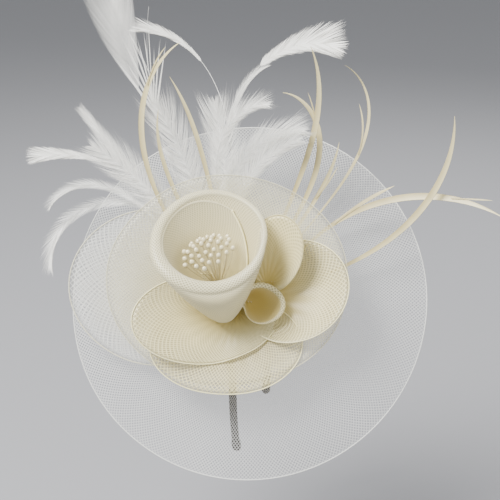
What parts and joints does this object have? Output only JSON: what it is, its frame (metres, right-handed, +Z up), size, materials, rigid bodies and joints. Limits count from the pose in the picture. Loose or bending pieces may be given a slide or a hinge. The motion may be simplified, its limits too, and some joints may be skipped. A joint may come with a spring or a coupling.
{
  "type": "fascinator headpiece",
  "caption": "Crinoline-mesh fascinator on a sprung headband: wide round brim, rolled flower with pearl stamens, arching feathers and stripped quills.",
  "frame": {"origin": "inside of the headband at the crown of the arch, where it rests on the head", "axes": "+Z up as worn, +X the way the wearer faces, +Y to the wearer's left; the trimming sits on the wearer's right"},
  "size_m": [0.4162, 0.2126, 0.4091],
  "materials": {
    "crin_pale": "pale ivory crinoline mesh, translucent, fine diagonal weave with a slight sheen",
    "crin_cream": "cream crinoline mesh, translucent, deeper golden where it doubles up",
    "feather_white": "white feather vane, soft and slightly translucent",
    "stripped_quill": "cream dyed stripped quill, smooth with a soft gloss",
    "pearl": "pearlised stamen heads",
    "stamen_cord": "stiffened cotton stamen thread",
    "sewing_thread": "cream sewing thread",
    "buckram": "stiffened cream sinamay",
    "bias_binding": "cream satin bias binding",
    "felt": "cream felt",
    "spring_steel": "sprung steel strip, hidden in the ribbon",
    "band_ribbon": "dark brown satin ribbon wound round the strip",
    "band_end": "dark brown end cap"
  },
  "bodies": {
    "crown": {"band_core_crown": "spring_steel", "band_whip_stitches": "sewing_thread", "band_wrap_crown": "band_ribbon", "base_binding": "bias_binding", "base_dome": "buckram", "biot_left_short": "stripped_quill", "biot_left_small": "stripped_quill", "biot_left_tall": "stripped_quill", "biot_right_fork": "stripped_quill", "biot_right_inner": "stripped_quill", "biot_right_long": "stripped_quill", "biot_right_side": "stripped_quill", "biot_right_tall": "stripped_quill", "biot_right_thin": "stripped_quill", "centre_stitches": "sewing_thread", "crin_brim": "crin_pale", "crin_loop_left": "crin_pale", "feather_arched": "feather_white", "feather_broad": "feather_white", "feather_fan_tip": "feather_white", "feather_fluff_high": "feather_white", "feather_fluff_low": "feather_white", "feather_fluff_middle": "feather_white", "feather_hackle_curl": "feather_white", "feather_hackle_low": "feather_white", "feather_narrow": "feather_white", "feather_plume_middle": "feather_white", "feather_plume_side": "feather_white", "feather_plume_top": "feather_white", "feather_slim_curl": "feather_white", "feather_spiky_fan": "feather_white", "feather_thin_stem": "feather_white", "feather_tie_left": "sewing_thread", "feather_tie_right": "sewing_thread", "feather_tie_side": "sewing_thread", "feather_white_tip": "feather_white", "felt_patch": "felt", "flower_back_layer": "crin_cream", "flower_cup": "crin_cream", "flower_stitches": "sewing_thread", "patch_stitches": "sewing_thread", "petal_lower_back": "crin_cream", "petal_lower_front": "crin_cream", "petal_right": "crin_cream", "petal_roll": "crin_cream", "petal_wrap": "crin_cream", "stamen_pearls": "pearl", "stamen_stalk": "stamen_cord", "stamen_stems": "stamen_cord", "stamen_tie": "sewing_thread"},
    "arm_right": {"band_core_arm_right": "spring_steel", "band_wrap_arm_right": "band_ribbon", "band_tip_right": "band_end"},
    "arm_left": {"band_core_arm_left": "spring_steel", "band_wrap_arm_left": "band_ribbon", "band_tip_left": "band_end"}
  },
  "joints": [
    {"name": "right_arm_flex", "type": "hinge", "parent": "crown", "child": "arm_right", "pos_m": [0, -0.06945, -0.05524], "axis": [-1, 0, 0], "range_deg": [-4, 14], "stiffness_Nm_per_rad": 0.8},
    {"name": "left_arm_flex", "type": "hinge", "parent": "crown", "child": "arm_left", "pos_m": [0, 0.06945, -0.05524], "axis": [1, 0, 0], "range_deg": [-4, 14], "stiffness_Nm_per_rad": 0.8}
  ]
}
